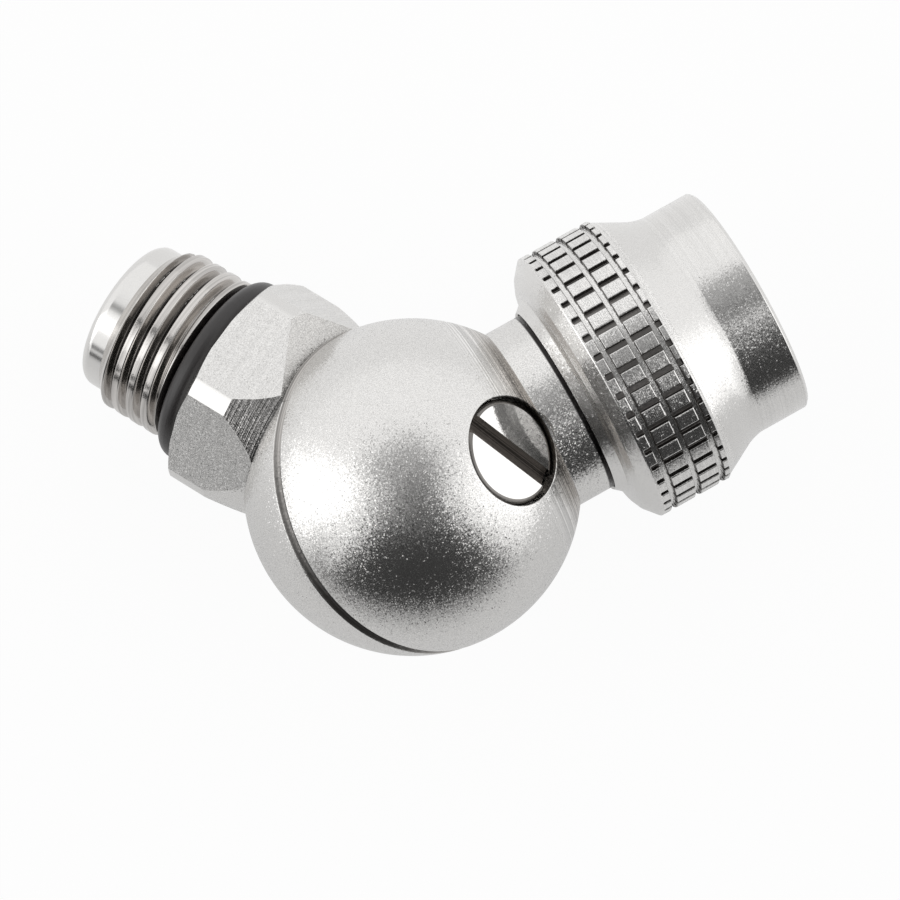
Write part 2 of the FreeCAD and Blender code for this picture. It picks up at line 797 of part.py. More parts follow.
male_body = make_male_body()
swivel_body = make_swivel_body()
pivot_bolt = make_pivot_bolt()
nozzle = make_nozzle()
coupling_nut = make_coupling_nut()
thread_o_ring = ring_body(
    "thread_o_ring", "thread_ring_centre", "thread_ring_height", "thread_ring_radius"
)
head_seal_ring = ring_body(
    "head_seal_ring", "pivot_ring_centre", "head_seal_height", "pivot_ring_section"
)
face_seal_ring = ring_body(
    "face_seal_ring", "pivot_ring_centre", "face_seal_height", "pivot_ring_section"
)
base_seal_ring = ring_body(
    "base_seal_ring", "pivot_ring_centre", "base_seal_height", "pivot_ring_section"
)
nozzle_seal_ring = ring_body(
    "nozzle_seal_ring", "nozzle_ring_centre", "nozzle_ring_height", "nozzle_ring_radius"
)
nozzle_base_ring = ring_body(
    "nozzle_base_ring", "base_ring_centre", "base_ring_height", "base_ring_radius"
)
head_washer = washer_body(
    "head_washer", "washer_inner", "head_washer_outer", "head_washer_low", "head_washer_high"
)
split_washer = washer_body(
    "split_washer",
    "split_washer_inner",
    "split_washer_outer",
    "split_washer_low",
    "split_washer_high",
)
nut_washer = washer_body(
    "nut_washer", "nut_washer_inner", "nut_washer_outer", "nut_washer_low", "nut_washer_high"
)

# Rest pose: the swivel lies on a table on its ball, its thread and its knurl.
rest = FreeCAD.Rotation(size("rest_yaw"), size("rest_pitch"), size("rest_roll"))
side_axis = FreeCAD.Vector(0, 1, 0)
up_axis = FreeCAD.Vector(0, 0, 1)
male_turn = rest.multiply(FreeCAD.Rotation(side_axis, size("male_lean")))
front_turn = rest.multiply(FreeCAD.Rotation(up_axis, size("swivel_turn")))
neck_turn = front_turn.multiply(FreeCAD.Rotation(side_axis, size("arm_lean")))
knurl_turn = neck_turn.multiply(FreeCAD.Rotation(up_axis, size("nut_turn")))

PLACES = [
    (male_body, male_turn),
    (thread_o_ring, male_turn),
    (pivot_bolt, rest),
    (head_seal_ring, rest),
    (face_seal_ring, rest),
    (base_seal_ring, rest),
    (head_washer, rest),
    (split_washer, rest),
    (swivel_body, neck_turn),
    (nozzle, neck_turn),
    (nozzle_seal_ring, neck_turn),
    (nozzle_base_ring, neck_turn),
    (nut_washer, neck_turn),
    (coupling_nut, knurl_turn),
]
for body, turn in PLACES:
    body.Placement = FreeCAD.Placement(FreeCAD.Vector(0, 0, 0), turn)
doc.recompute()

# The origin is the middle of the bounding box's underside.
box = FreeCAD.BoundBox()
for body, turn in PLACES:
    tight = body.Shape.optimalBoundingBox(False, False)
    box.add(tight)
shift = FreeCAD.Vector(-box.Center.x, -box.Center.y, -box.ZMin)
for body, turn in PLACES:
    body.Placement = FreeCAD.Placement(shift, turn)
doc.recompute()

for thing in doc.Objects:
    for state in thing.State:
        if state in ("Invalid", "Error"):
            raise RuntimeError(thing.Name + " is " + state)
os.makedirs("parts", exist_ok=True)
for body, turn in PLACES:
    shape = body.Shape
    if shape.isNull() or not shape.isValid() or len(shape.Solids) != 1:
        raise RuntimeError(body.Label + " has no single valid solid")
    shape.exportStep("parts/" + body.Label + ".step")

print("ball centre", shift)
print("swivel axis", rest.multVec(up_axis))
print("male axis", male_turn.multVec(up_axis))
print("neck axis", neck_turn.multVec(up_axis))
print("box", box.XLength, box.YLength, box.ZLength)
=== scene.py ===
import json
import math

import bmesh
import bpy
import numpy as np
from mathutils import Matrix, Vector


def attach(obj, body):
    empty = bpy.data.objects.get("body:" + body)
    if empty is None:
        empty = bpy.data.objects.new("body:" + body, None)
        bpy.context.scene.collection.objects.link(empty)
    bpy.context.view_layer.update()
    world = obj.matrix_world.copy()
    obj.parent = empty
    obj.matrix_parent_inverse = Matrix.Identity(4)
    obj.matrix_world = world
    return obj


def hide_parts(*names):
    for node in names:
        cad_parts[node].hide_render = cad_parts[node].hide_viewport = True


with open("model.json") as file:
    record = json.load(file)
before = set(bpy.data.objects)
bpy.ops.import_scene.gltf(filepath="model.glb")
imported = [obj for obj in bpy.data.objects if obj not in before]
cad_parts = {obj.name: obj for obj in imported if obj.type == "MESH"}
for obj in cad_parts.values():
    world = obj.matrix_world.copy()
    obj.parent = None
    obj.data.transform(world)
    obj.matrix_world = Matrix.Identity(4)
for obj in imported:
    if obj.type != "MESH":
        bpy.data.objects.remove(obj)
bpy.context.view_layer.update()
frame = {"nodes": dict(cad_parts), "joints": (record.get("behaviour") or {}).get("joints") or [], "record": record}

# Hose swivel: satin blasted ball halves, milled hexagon, polished thread and bolt, knurled nut.
# Pieces are shaped in millimetres about the ball's centre and are settled in metres at the end.

MM = 0.001


# Axes of the frame

def joint_named(name):
    return next(j for j in frame["joints"] if j["name"] == name)


def mount_named(name):
    return next(m for m in frame["record"]["mounts"] if m["name"] == name)


def basis(axis, side):
    """Turn whose Z is the axis and whose X is the part of side that stands square to it."""
    z = axis.normalized()
    x = (side - z * side.dot(z)).normalized()
    y = z.cross(x)
    return Matrix((x, y, z)).transposed()


BALL_CENTRE = Vector(joint_named("swivel")["pos_m"])
SWIVEL_AXIS = Vector(joint_named("swivel")["axis"])
NECK_AXIS = Vector(joint_named("nut_spin")["axis"])
MALE_AXIS = Vector(mount_named("male_thread")["axis"])

ABOUT_SWIVEL = basis(SWIVEL_AXIS, -MALE_AXIS)
ABOUT_MALE = basis(MALE_AXIS, SWIVEL_AXIS)
ABOUT_NECK = basis(NECK_AXIS, -SWIVEL_AXIS)
SWIVEL_IN_MALE = np.array(SWIVEL_AXIS) @ np.array(ABOUT_MALE)

# Sizes in millimetres

# A size is a radius or a height along its piece's axis, unless its name says otherwise. Most are
# the solids' sizes. HEAD, SLOT_WIDTH and SLOT_TO follow the photograph more closely.

BALL = 13.3
SPLIT_FRONT = 0.4
SPLIT_BACK = -0.1
RIM_BREAK = 0.4
CLEAR_OF_BALL = 18.6
EDGE = 0.06

# Points round a turned shape

ROUND = 192
BALL_ROUND = 256
HEX_ROUND = 360
THREAD_ROUND = 384
BORE_ROUND = 128
WAY_ROUND = 96

# Pivot bolt, its hole and the gas passages

BOLT_HOLE = 3.45
CHAMBER = 5.2
CHAMBER_NEAR = 2.5
CHAMBER_FAR = 5.3
SEAT = 9.94
SPOTFACE = 4.35
SPOTFACE_TOP = 12.5
SPOTFACE_BREAK = 0.12
SPOTFACE_FLARE = 0.3
TAPPED = 3.03
TAPPED_FROM = -5.93
TAPPED_TO = -10.7
TAPPED_TIP = -11.46
PASSAGE = 2
PASSAGE_FROM = 6.3

JOURNAL = 3.4
BOLT_BORE = 1.6
BOLT_BORE_TOP = 5.0
BOLT_BORE_TIP = 5.8
BOLT_THREAD = 3.0
BOLT_TIP = 2.7
BOLT_END = -10.2
BOLT_CHAMFER = -9.9
BOLT_SHOULDER = -5.87
SEAL_FLOOR = 2.5
SEAL_GROOVES = ((-1.95, -0.65), (0.8, 2.1), (6.25, 7.55))
HEAD = 4.22
HEAD_TOP = 12.3
HEAD_UNDER = 10.4
HEAD_BEVEL = 0.45
SLOT_WIDTH = 1.55
SLOT_DEPTH = 1.05
SLOT_TURN = math.radians(20.3)
BOLT_EDGE = 0.05

# Male arm

HEX_ACROSS = 17.0
HEX_TURN = math.radians(37)
HEX_FROM = 10.2
HEX_FACE = 17.4
HEX_CORNER = 9.4
CONE_FROM = (8.3, 9.0)
CONE_TO = (HEX_CORNER, 13.55)
HEX_CHAMFER_FROM = 16.95
HEX_CHAMFER_DROP = 0.8
STUB_FROM = 17.0
UNDERCUT = 6.0
THREAD_CREST = 7.14
THREAD_ROOT = 6.3
THREAD_FROM = 19.5
THREAD_FULL = 19.95
THREAD_LAST = 25.1
THREAD_TO = 25.94
THREAD_PITCH = 1.411
THREAD_TURN = math.radians(-62.4)
NOSE = 6.3
NOSE_ROUND = 0.9
NOSE_END = 28.0
NOSE_BORE = 4.3
NOSE_BORE_CONE = 19.6
NOSE_BORE_FROM = 20.2
NOSE_BORE_BREAK = 0.5

# Neck of the swivel body

NECK = 7.7
NECK_FROM = 9.0
NECK_END = 15.2
SPIGOT = 6.1
SPIGOT_END = 17.3
NOZZLE_TAPPED = 4.03
NOZZLE_FROM = 12.4
COUNTERBORE = 4.95
COUNTERBORE_FROM = 16.35

# Coupling nut

# The collar's points run outward from the skirt's mouth.

COLLAR = [
    (7.95, 13.85), (8.62, 14.62), (8.68, 14.67), (9.70, 14.83), (9.78, 14.86), (10.46, 15.17),
    (10.54, 15.23),
]
NUT_TURN = math.radians(0.9)
KNURL = 11.6
KNURL_FROM = 16.12
KNURL_TO = 22.2
KNURL_BREAK = 0.2
RING_GROOVES = (17.17, 19.34, 21.5)
RING_WIDTH = 0.48
RING_DEPTH = 0.42
SLOTS = 42
SLOT_PITCH = 2 * math.pi / SLOTS
SLOT_HALF = 0.25
SLOT_FLOOR = 11.22
SLOT_FROM = 16.28
SLOT_TO = 22.1
WAIST_CONE = ((11.04, 23.07), (10.8, 23.52), (10.22, 24.6))
WAIST_ROUND = 4.5
BARREL = 9.66
BARREL_FROM = 26.3
BARREL_END = [(BARREL, 30.25), (9.63, 30.32), (9.40, 30.53), (9.34, 30.55)]
NUT_MOUTH = (7.89, 30.55)
NUT_THREAD = 7.19
NUT_THREAD_CREST = 6.5
NUT_THREAD_FROM = 22.8
NUT_THREAD_TO = 29.85
NUT_RELIEF = 7.6
NUT_RELIEF_END = 22.39
WEB = 6.2
WEB_FRONT = 16.85
WEB_BACK = 15.25
SKIRT = 7.8
SKIRT_BREAK = 14.0

# A groove's rounded upper edge as (distance past its wall, depth), and the foot of its wall as
# (distance inside its wall, height above its floor)

LIP = [(0.1, 0), (0.06, 0.008), (0.03, 0.022), (0.01, 0.045), (0.0, 0.075)]
FOOT = [(0.02, 0.06), (0.035, 0.02), (0.07, 0)]
RING_SIDE = [(0.13, 0)] + LIP
SLOT_SIDE = [(0.14, 0)] + LIP

# Finishes, each a place in its piece's list of steels

SATIN, MILLED, CONE, POLISHED, ROUGH, RIM, THREAD = range(7)
NUT_SATIN, NUT_KNURL, NUT_BARREL, NUT_INSIDE, NUT_SLOT = range(5)
BOLT_POLISHED, BOLT_SLOT, BOLT_BEVEL = range(3)

# Edges are shaded sharp from this angle on

SHARP = math.radians(14)

# Room about a limit between finishes, and the side on which the cone shows its turned lines and is painted darker
# as shade

NEAR = 0.02
LINED_SIDE = math.radians(307)


# Outlines

def arc(start, finish, radius, side, steps):
    """Points from start to finish, without the last, on an arc.
    Its centre is left (1) or right (-1) of the way."""
    a = np.array(start, float)
    b = np.array(finish, float)
    way = b - a
    half = np.linalg.norm(way) / 2
    left = np.array([-way[1], way[0]]) / (2 * half)
    centre = (a + b) / 2 + left * side * math.sqrt(max(radius * radius - half * half, 0))
    first = math.atan2(*(a - centre)[::-1])
    last = math.atan2(*(b - centre)[::-1])
    if side > 0 and last < first:
        last += 2 * math.pi
    if side < 0 and last > first:
        last -= 2 * math.pi
    turns = np.linspace(first, last, steps, endpoint=False)
    return [(centre[0] + radius * math.cos(t), centre[1] + radius * math.sin(t)) for t in turns]


def ball_arc(low, high, steps=90):
    """Points on the ball's outline between two heights."""
    first = math.asin(max(-1, min(1, low / BALL)))
    last = math.asin(max(-1, min(1, high / BALL)))
    turns = np.linspace(first, last, steps)
    return [(BALL * math.cos(t), BALL * math.sin(t)) for t in turns]


def fine_line(start, finish, steps):
    """Points from start to finish, both ends counted."""
    a = np.array(start, float)
    b = np.array(finish, float)
    return [tuple(a + (b - a) * k / steps) for k in range(steps + 1)]


def braced(outline, reach=0.05, least=0.3):
    """A closed outline with a point close to both ends of every long side, so flats shade flat."""
    points = np.array(outline, float)
    out = []
    for here, on in zip(points, np.roll(points, -1, axis=0)):
        out.append(tuple(here))
        length = np.linalg.norm(on - here)
        if length > least:
            out.append(tuple(here + (on - here) * reach / length))
            out.append(tuple(on - (on - here) * reach / length))
    return out


# Meshes

def mesh_object(name, points, faces):
    mesh = bpy.data.meshes.new(name)
    mesh.from_pydata([tuple(p) for p in points], [], faces)
    mesh.validate()
    mesh.update()
    piece = bpy.data.objects.new(name, mesh)
    bpy.context.scene.collection.objects.link(piece)
    shade(piece)
    return piece


def shade(piece):
    """Smooth shading, broken at sharp edges and where the finish changes, never inside the thread."""
    mesh = piece.data
    mesh.polygons.foreach_set("use_smooth", [True] * len(mesh.polygons))
    mesh.set_sharp_from_angle(angle=SHARP)
    finish = np.zeros(len(mesh.polygons), int)
    mesh.polygons.foreach_get("material_index", finish)
    if not finish.any():
        return
    edge_of = np.zeros(len(mesh.loops), int)
    mesh.loops.foreach_get("edge_index", edge_of)
    size_of = np.zeros(len(mesh.polygons), int)
    mesh.polygons.foreach_get("loop_total", size_of)
    finish_of = np.repeat(finish, size_of)
    least = np.full(len(mesh.edges), THREAD + 1)
    most = np.full(len(mesh.edges), -1)
    np.minimum.at(least, edge_of, finish_of)
    np.maximum.at(most, edge_of, finish_of)
    changes = least != most
    sharp = np.zeros(len(mesh.edges), bool)
    mesh.edges.foreach_get("use_edge_sharp", sharp)
    sharp = changes | sharp & (least != THREAD)
    mesh.edges.foreach_set("use_edge_sharp", sharp)


def turned(name, outline, turn, segments=ROUND, angles=None, radius_at=None):
    """A closed outline of (radius, height) turned about the axis of turn.
    radius_at(radii, heights, angle) may change the radii at each angle."""
    outline = np.array(outline, float)
    if angles is None:
        angles = np.linspace(0, 2 * math.pi, segments, endpoint=False)
    rings = len(angles)
    count = len(outline)
    points = np.zeros((rings, count, 3))
    for i, angle in enumerate(angles):
        radii = outline[:, 0]
        heights = outline[:, 1]
        if radius_at is not None:
            radii = radius_at(radii, heights, angle)
        points[i, :, 0] = radii * math.cos(angle)
        points[i, :, 1] = radii * math.sin(angle)
        points[i, :, 2] = heights
    flat = points.reshape(-1, 3) @ np.array(turn).T
    on_axis = outline[:, 0] < 1e-6

    def index(i, j):
        if on_axis[j]:
            return j
        return (i % rings) * count + j

    faces = []
    for i in range(rings):
        for j in range(count):
            k = (j + 1) % count
            corners = [index(i, j), index(i + 1, j), index(i + 1, k), index(i, k)]
            corners = list(dict.fromkeys(corners))
            if len(corners) > 2:
                faces.append(corners)
    piece = mesh_object(name, flat, faces)
    drop_loose(piece)
    face_outward(piece)
    return piece


def drop_loose(piece):
    """Deletes the points that no face uses."""
    used = np.zeros(len(piece.data.vertices), bool)
    corners = np.zeros(len(piece.data.loops), int)
    piece.data.loops.foreach_get("vertex_index", corners)
    used[corners] = True
    if used.all():
        return
    work = bmesh.new()
    work.from_mesh(piece.data)
    bmesh.ops.delete(work, geom=[v for v in work.verts if not v.link_faces], context="VERTS")
    work.to_mesh(piece.data)
    work.free()


def face_outward(piece):
    work = bmesh.new()
    work.from_mesh(piece.data)
    bmesh.ops.recalc_face_normals(work, faces=work.faces)
    if work.calc_volume(signed=True) < 0:
        bmesh.ops.reverse_faces(work, faces=work.faces)
    work.to_mesh(piece.data)
    work.free()


def combine(piece, tool, operation):
    """Cuts the tool out of the piece or adds it, and removes the tool."""
    step = piece.modifiers.new("combine", "BOOLEAN")
    step.operation = operation
    step.object = tool
    step.solver = "MANIFOLD"
    apply_modifiers(piece)
    bpy.data.objects.remove(tool)


def break_edges(piece, width, least):
    """Bevels each edge at which the surface turns by more than the least angle, in degrees."""
    bevel = piece.modifiers.new("bevel", "BEVEL")
    bevel.width = width
    bevel.segments = 2
    bevel.limit_method = "ANGLE"
    bevel.angle_limit = math.radians(least)
    apply_modifiers(piece)


def apply_modifiers(piece):
    bpy.context.view_layer.update()
    seen = piece.evaluated_get(bpy.context.evaluated_depsgraph_get())
    mesh = bpy.data.meshes.new_from_object(seen)
    piece.modifiers.clear()
    piece.data = mesh


def settle(piece, node, body, materials, turn=None, choose=None):
    """Gives a piece its materials, brings it from millimetres about the ball to its place, and ties it to its
    body. The solid of its node is hidden."""
    piece.data.materials.clear()
    for material in materials:
        piece.data.materials.append(material)
    if choose:
        sort_faces(piece, turn, choose)
    piece.data.transform(Matrix.Translation(BALL_CENTRE) @ Matrix.Scale(MM, 4))
    shade(piece)
    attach(piece, body)
    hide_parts(node)


def sort_faces(piece, turn, choose):
    """Gives each face the material number that choose picks from its middle and its direction."""
    inward = np.array(turn)
    for face in piece.data.polygons:
        middle = np.array(face.center) @ inward
        direction = np.array(face.normal) @ inward
        face.material_index = choose(middle, direction)


# Swivel body

def make_swivel_body():
    """Front ball half with its neck, the bolt's spotface and the gas way."""
    half = turned("swivel_ball", swivel_ball_outline(), ABOUT_SWIVEL, BALL_ROUND)
    combine(half, turned("neck", neck_outline(), ABOUT_NECK, BALL_ROUND), "UNION")
    combine(half, turned("bore", swivel_bore_outline(), ABOUT_SWIVEL), "DIFFERENCE")
    combine(half, turned("way", neck_way_outline(), ABOUT_NECK, WAY_ROUND), "DIFFERENCE")
    half.name = "swivel_body_dressed"
    return half


def swivel_ball_outline():
    """Front ball half, flat towards the back half."""
    rim = BALL * math.cos(math.asin(SPLIT_FRONT / BALL))
    outline = [(0, SPLIT_FRONT), (rim - EDGE, SPLIT_FRONT)]
    outline += ball_arc(SPLIT_FRONT + EDGE, BALL)
    outline[-1] = (0, BALL)
    return outline


def neck_outline():
    """The neck with its spigot."""
    return [
        (0, NECK_FROM), (NECK, NECK_FROM), (NECK, NECK_END - EDGE), (NECK - EDGE, NECK_END),
        (SPIGOT, NECK_END), (SPIGOT, SPIGOT_END), (0, SPIGOT_END),
    ]


def swivel_bore_outline():
    """The bolt's hole in the front half, with the gas chamber and the spotface."""
    below = -1
    flared = SPOTFACE + SPOTFACE_FLARE
    flared_from = 14
    past = 19
    return [
        (0, below), (BOLT_HOLE, below), (BOLT_HOLE, CHAMBER_NEAR), (CHAMBER, CHAMBER_NEAR),
        (CHAMBER, CHAMBER_FAR), (BOLT_HOLE, CHAMBER_FAR), (BOLT_HOLE, SEAT), (SPOTFACE, SEAT),
        (SPOTFACE, SPOTFACE_TOP), (SPOTFACE + SPOTFACE_BREAK, SPOTFACE_TOP + SPOTFACE_BREAK),
        (flared, flared_from), (flared, past), (0, past),
    ]


def neck_way_outline():
    """The gas way through the neck, tapped for the nozzle."""
    past = 18
    return [
        (0, PASSAGE_FROM), (PASSAGE, PASSAGE_FROM), (PASSAGE, NOZZLE_FROM),
        (NOZZLE_TAPPED, NOZZLE_FROM), (NOZZLE_TAPPED, COUNTERBORE_FROM),
        (COUNTERBORE, COUNTERBORE_FROM), (COUNTERBORE, past), (0, past),
    ]


# Male body

def make_male_body():
    """Back ball half with the cone, the hexagon, the threaded stub and the nose."""
    head = hex_head()
    stub = turned("stub", stub_outline(), ABOUT_MALE, THREAD_ROUND, radius_at=male_radius)
    half = turned("male_ball", male_ball_outline(), ABOUT_SWIVEL, BALL_ROUND)
    combine(head, turned("relief", relief_outline(), ABOUT_SWIVEL, BALL_ROUND), "DIFFERENCE")
    combine(half, head, "UNION")
    combine(half, stub, "UNION")
    combine(half, turned("bore", male_bore_outline(), ABOUT_SWIVEL, BORE_ROUND), "DIFFERENCE")
    combine(half, turned("way", male_way_outline(), ABOUT_MALE, BORE_ROUND), "DIFFERENCE")
    half.name = "male_body_dressed"
    return half


def hex_head():
    """The cone and the hexagon, with broken edges."""
    outline = [(0, CONE_FROM[1]), CONE_FROM, CONE_TO, (HEX_CORNER, HEX_CHAMFER_FROM)]
    outline += [(HEX_CORNER - HEX_CHAMFER_DROP, HEX_FACE), (0, HEX_FACE)]
    head = turned("hex_head", outline, ABOUT_MALE, HEX_ROUND)
    combine(head, hexagon_ring(), "DIFFERENCE")
    break_edges(head, EDGE, 20)
    return head


def male_ball_outline():
    """Back ball half with a broken rim."""
    low_rim = SPLIT_BACK - RIM_BREAK
    outline = [(0, SPLIT_BACK), (BALL - RIM_BREAK, SPLIT_BACK), (BALL - 0.04, low_rim)]
    outline += ball_arc(low_rim - 0.05, -BALL)
    outline[-1] = (0, -BALL)
    return outline


def relief_outline():
    """What is cut off the hexagon's head to clear the front ball half."""
    low_rim = SPLIT_BACK - RIM_BREAK
    return [
        (0, SPLIT_BACK), (BALL - RIM_BREAK, SPLIT_BACK), (BALL, low_rim), (CLEAR_OF_BALL, low_rim),
        (CLEAR_OF_BALL, CLEAR_OF_BALL), (0, CLEAR_OF_BALL),
    ]


def male_bore_outline():
    """The bolt's tapped hole in the back half, with the gas chamber."""
    above = 1
    return [
        (0, above), (BOLT_HOLE, above), (BOLT_HOLE, -CHAMBER_NEAR), (CHAMBER, -CHAMBER_NEAR),
        (CHAMBER, -CHAMBER_FAR), (BOLT_HOLE, -CHAMBER_FAR), (BOLT_HOLE, TAPPED_FROM),
        (TAPPED, TAPPED_FROM), (TAPPED, TAPPED_TO), (0, TAPPED_TIP),
    ]


def male_way_outline():
    """The gas way through the stub, wider in the nose."""
    mouth = NOSE_BORE + NOSE_BORE_BREAK
    past = NOSE_END + 1
    return [
        (0, PASSAGE_FROM), (PASSAGE, PASSAGE_FROM), (PASSAGE, NOSE_BORE_CONE),
        (NOSE_BORE, NOSE_BORE_FROM), (NOSE_BORE, NOSE_END - NOSE_BORE_BREAK), (mouth, NOSE_END),
        (mouth, past), (0, past),
    ]


def stub_outline():
    """The undercut, the thread's blank and the rounded nose."""
    root = (THREAD_ROOT, THREAD_FROM)
    crest = (THREAD_CREST, THREAD_FULL)
    last_crest = (THREAD_CREST, THREAD_LAST)
    nose = (NOSE, THREAD_TO)
    round_from = (NOSE, NOSE_END - NOSE_ROUND)
    round_to = (NOSE - NOSE_ROUND, NOSE_END)
    outline = [(0, STUB_FROM), (UNDERCUT, STUB_FROM), (UNDERCUT, THREAD_FROM), root]
    outline += fine_line(root, crest, 16)[1:]
    outline += fine_line(crest, last_crest, 184)[1:]
    outline += fine_line(last_crest, nose, 30)[1:]
    outline += [(NOSE, THREAD_TO + 0.08), (NOSE, NOSE_END - NOSE_ROUND - EDGE), round_from]
    outline += arc(round_from, round_to, NOSE_ROUND, 1, 10)[1:]
    outline += [round_to, (0, NOSE_END)]
    return outline


def thread_rise(heights, angle, turn, root, flank):
    """0 at the root and 1 at the crest of a right-hand thread. Root and flank are how much of
    the way from mid-root to mid-crest each takes up."""
    phase = (heights / THREAD_PITCH - (angle - turn) / (2 * math.pi)) % 1.0
    away = np.abs(phase - 0.5) * 2
    return np.clip((away - root) / flank, 0, 1)


def male_radius(radii, heights, angle):
    """Male thread with rounded flanks that fades at both ends."""
    form = thread_rise(heights, angle, THREAD_TURN, 0.02, 0.64)
    form = form * form * (3 - 2 * form)
    depth = (1 - form) * (THREAD_CREST - THREAD_ROOT)
    cut = np.maximum(THREAD_CREST - depth, THREAD_ROOT)
    return np.where(radii > THREAD_ROOT + 1e-6, np.minimum(radii, cut), radii)


def hexagon_ring():
    """The stock that milling takes off round the hexagon."""
    inner = HEX_ACROSS / math.sqrt(3)
    outer = 20
    past = 3
    corners = []
    for k in range(6):
        turn = HEX_TURN + math.radians(30 + 60 * k)
        corners.append((inner * math.cos(turn), inner * math.sin(turn)))
    points = []
    for height in (HEX_FROM, HEX_FACE + past):
        for reach in (1, outer / inner):
            for x, y in corners:
                points.append((x * reach, y * reach, height))
    # Points come in sixes: low inner, low outer, high inner, high outer
    faces = []
    for k in range(6):
        n = (k + 1) % 6
        faces.append((k, n, 12 + n, 12 + k))
        faces.append((6 + n, 6 + k, 18 + k, 18 + n))
        faces.append((n, k, 6 + k, 6 + n))
        faces.append((12 + k, 12 + n, 18 + n, 18 + k))
    piece = mesh_object("hexagon_ring", np.array(points) @ np.array(ABOUT_MALE).T, faces)
    face_outward(piece)
    return piece


# Pivot bolt

def make_bolt():
    """Hollow slotted bolt with a polished head."""
    bolt = turned("pivot_bolt_dressed", bolt_outline(), ABOUT_SWIVEL)
    combine(bolt, driver_slot(), "DIFFERENCE")
    break_edges(bolt, BOLT_EDGE, 60)
    return bolt


def bolt_outline():
    """The bolt's bore, thread, journal with its seal grooves, and head."""
    outline = [(0, BOLT_BORE_TIP), (BOLT_BORE, BOLT_BORE_TOP), (BOLT_BORE, BOLT_END)]
    outline += [(BOLT_TIP, BOLT_END), (BOLT_THREAD, BOLT_CHAMFER), (BOLT_THREAD, BOLT_SHOULDER)]
    outline += [(JOURNAL, BOLT_SHOULDER)]
    for low, high in SEAL_GROOVES:
        outline += [(JOURNAL, low), (SEAL_FLOOR, low), (SEAL_FLOOR, high), (JOURNAL, high)]
    bevel_from = (HEAD, HEAD_TOP - HEAD_BEVEL)
    bevel_to = (HEAD - HEAD_BEVEL, HEAD_TOP)
    outline += [(JOURNAL, HEAD_UNDER), (HEAD, HEAD_UNDER), bevel_from]
    outline += arc(bevel_from, bevel_to, HEAD_BEVEL * 1.3, 1, 8)[1:]
    outline += [bevel_to, (0, HEAD_TOP)]
    return outline


def driver_slot():
    """The block that is cut out of the bolt's head."""
    past = 1
    reach = HEAD + past
    half = SLOT_WIDTH / 2
    cosine = math.cos(SLOT_TURN)
    sine = math.sin(SLOT_TURN)
    points = []
    for height in (HEAD_TOP - SLOT_DEPTH, HEAD_TOP + past):
        for x, y in ((-reach, -half), (reach, -half), (reach, half), (-reach, half)):
            points.append((x * cosine - y * sine, x * sine + y * cosine, height))
    faces = [(0, 3, 2, 1), (4, 5, 6, 7)]
    faces += [(k, (k + 1) % 4, 4 + (k + 1) % 4, 4 + k) for k in range(4)]
    slot = mesh_object("slot", np.array(points) @ np.array(ABOUT_SWIVEL).T, faces)
    face_outward(slot)
    return slot


# Coupling nut

def groove_steps(middle):
    """Heights and depths across one ring groove with rounded edges."""
    half = RING_WIDTH / 2
    side = RING_SIDE + [(-inside, RING_DEPTH - above) for inside, above in FOOT]
    low = [(middle - half - reach, drop) for reach, drop in side]
    high = [(middle + half + reach, drop) for reach, drop in side]
    return low + high[::-1]


def knurl_angles():
    """Angles of the nut's columns, close together at the walls of its slots."""
    side = [SLOT_HALF + reach for reach, drop in SLOT_SIDE]
    side += [SLOT_HALF - inside for inside, above in FOOT]
    offsets = [-x for x in side] + [0] + side[::-1]
    edge = side[0] / KNURL
    angles = []
    for k in range(SLOTS):
        middle = k * SLOT_PITCH
        angles += [middle + x / KNURL for x in offsets]
        angles += [middle + edge + (SLOT_PITCH - 2 * edge) * t for t in (0.25, 0.5, 0.75)]
    return angles


def from_slot(angle):
    """How far an angle lies from the middle of the nearest slot, round the knurl."""
    return abs((angle + SLOT_PITCH / 2) % SLOT_PITCH - SLOT_PITCH / 2) * KNURL


def slot_depth(angle):
    """How deep the knurl's slots are at an angle."""
    full = KNURL - SLOT_FLOOR
    known = [(0, full)] + [(SLOT_HALF - inside, full - above) for inside, above in FOOT[::-1]]
    known += [(SLOT_HALF + reach, drop) for reach, drop in SLOT_SIDE[::-1]]
    return float(np.interp(from_slot(angle), [x for x, drop in known], [drop for x, drop in known]))


def nut_radius(radii, heights, angle):
    """Cuts the slots and the inner thread into the nut's outline."""
    begun = np.interp(heights, [SLOT_FROM - 0.06, SLOT_FROM, SLOT_FROM + 0.03], [0, 0.12, 1])
    outside = 10
    slotted = (heights < SLOT_TO) & (radii > outside)
    slotted_radii = np.minimum(radii, KNURL - slot_depth(angle) * begun)
    form = thread_rise(heights, angle, 0, 0.12, 0.7)
    depth = (1 - form) * (NUT_THREAD - NUT_THREAD_CREST)
    fade = np.clip((heights - NUT_THREAD_FROM) / 0.7, 0, 1)
    fade = fade * np.clip((NUT_THREAD_TO - heights) / 0.5, 0, 1)
    threaded = np.abs(radii - NUT_THREAD) < 1e-6
    return np.where(threaded, radii - depth * fade, np.where(slotted, slotted_radii, radii))


def make_nut():
    """Coupling nut: collar, knurled band, waist, barrel and the inner thread."""
    outline = braced(COLLAR + knurl_outline() + barrel_outline() + nut_inside())
    turn = ABOUT_NECK @ Matrix.Rotation(NUT_TURN, 3, "Z")
    return turned(
        "coupling_nut_dressed", outline, turn, angles=knurl_angles(), radius_at=nut_radius
    )


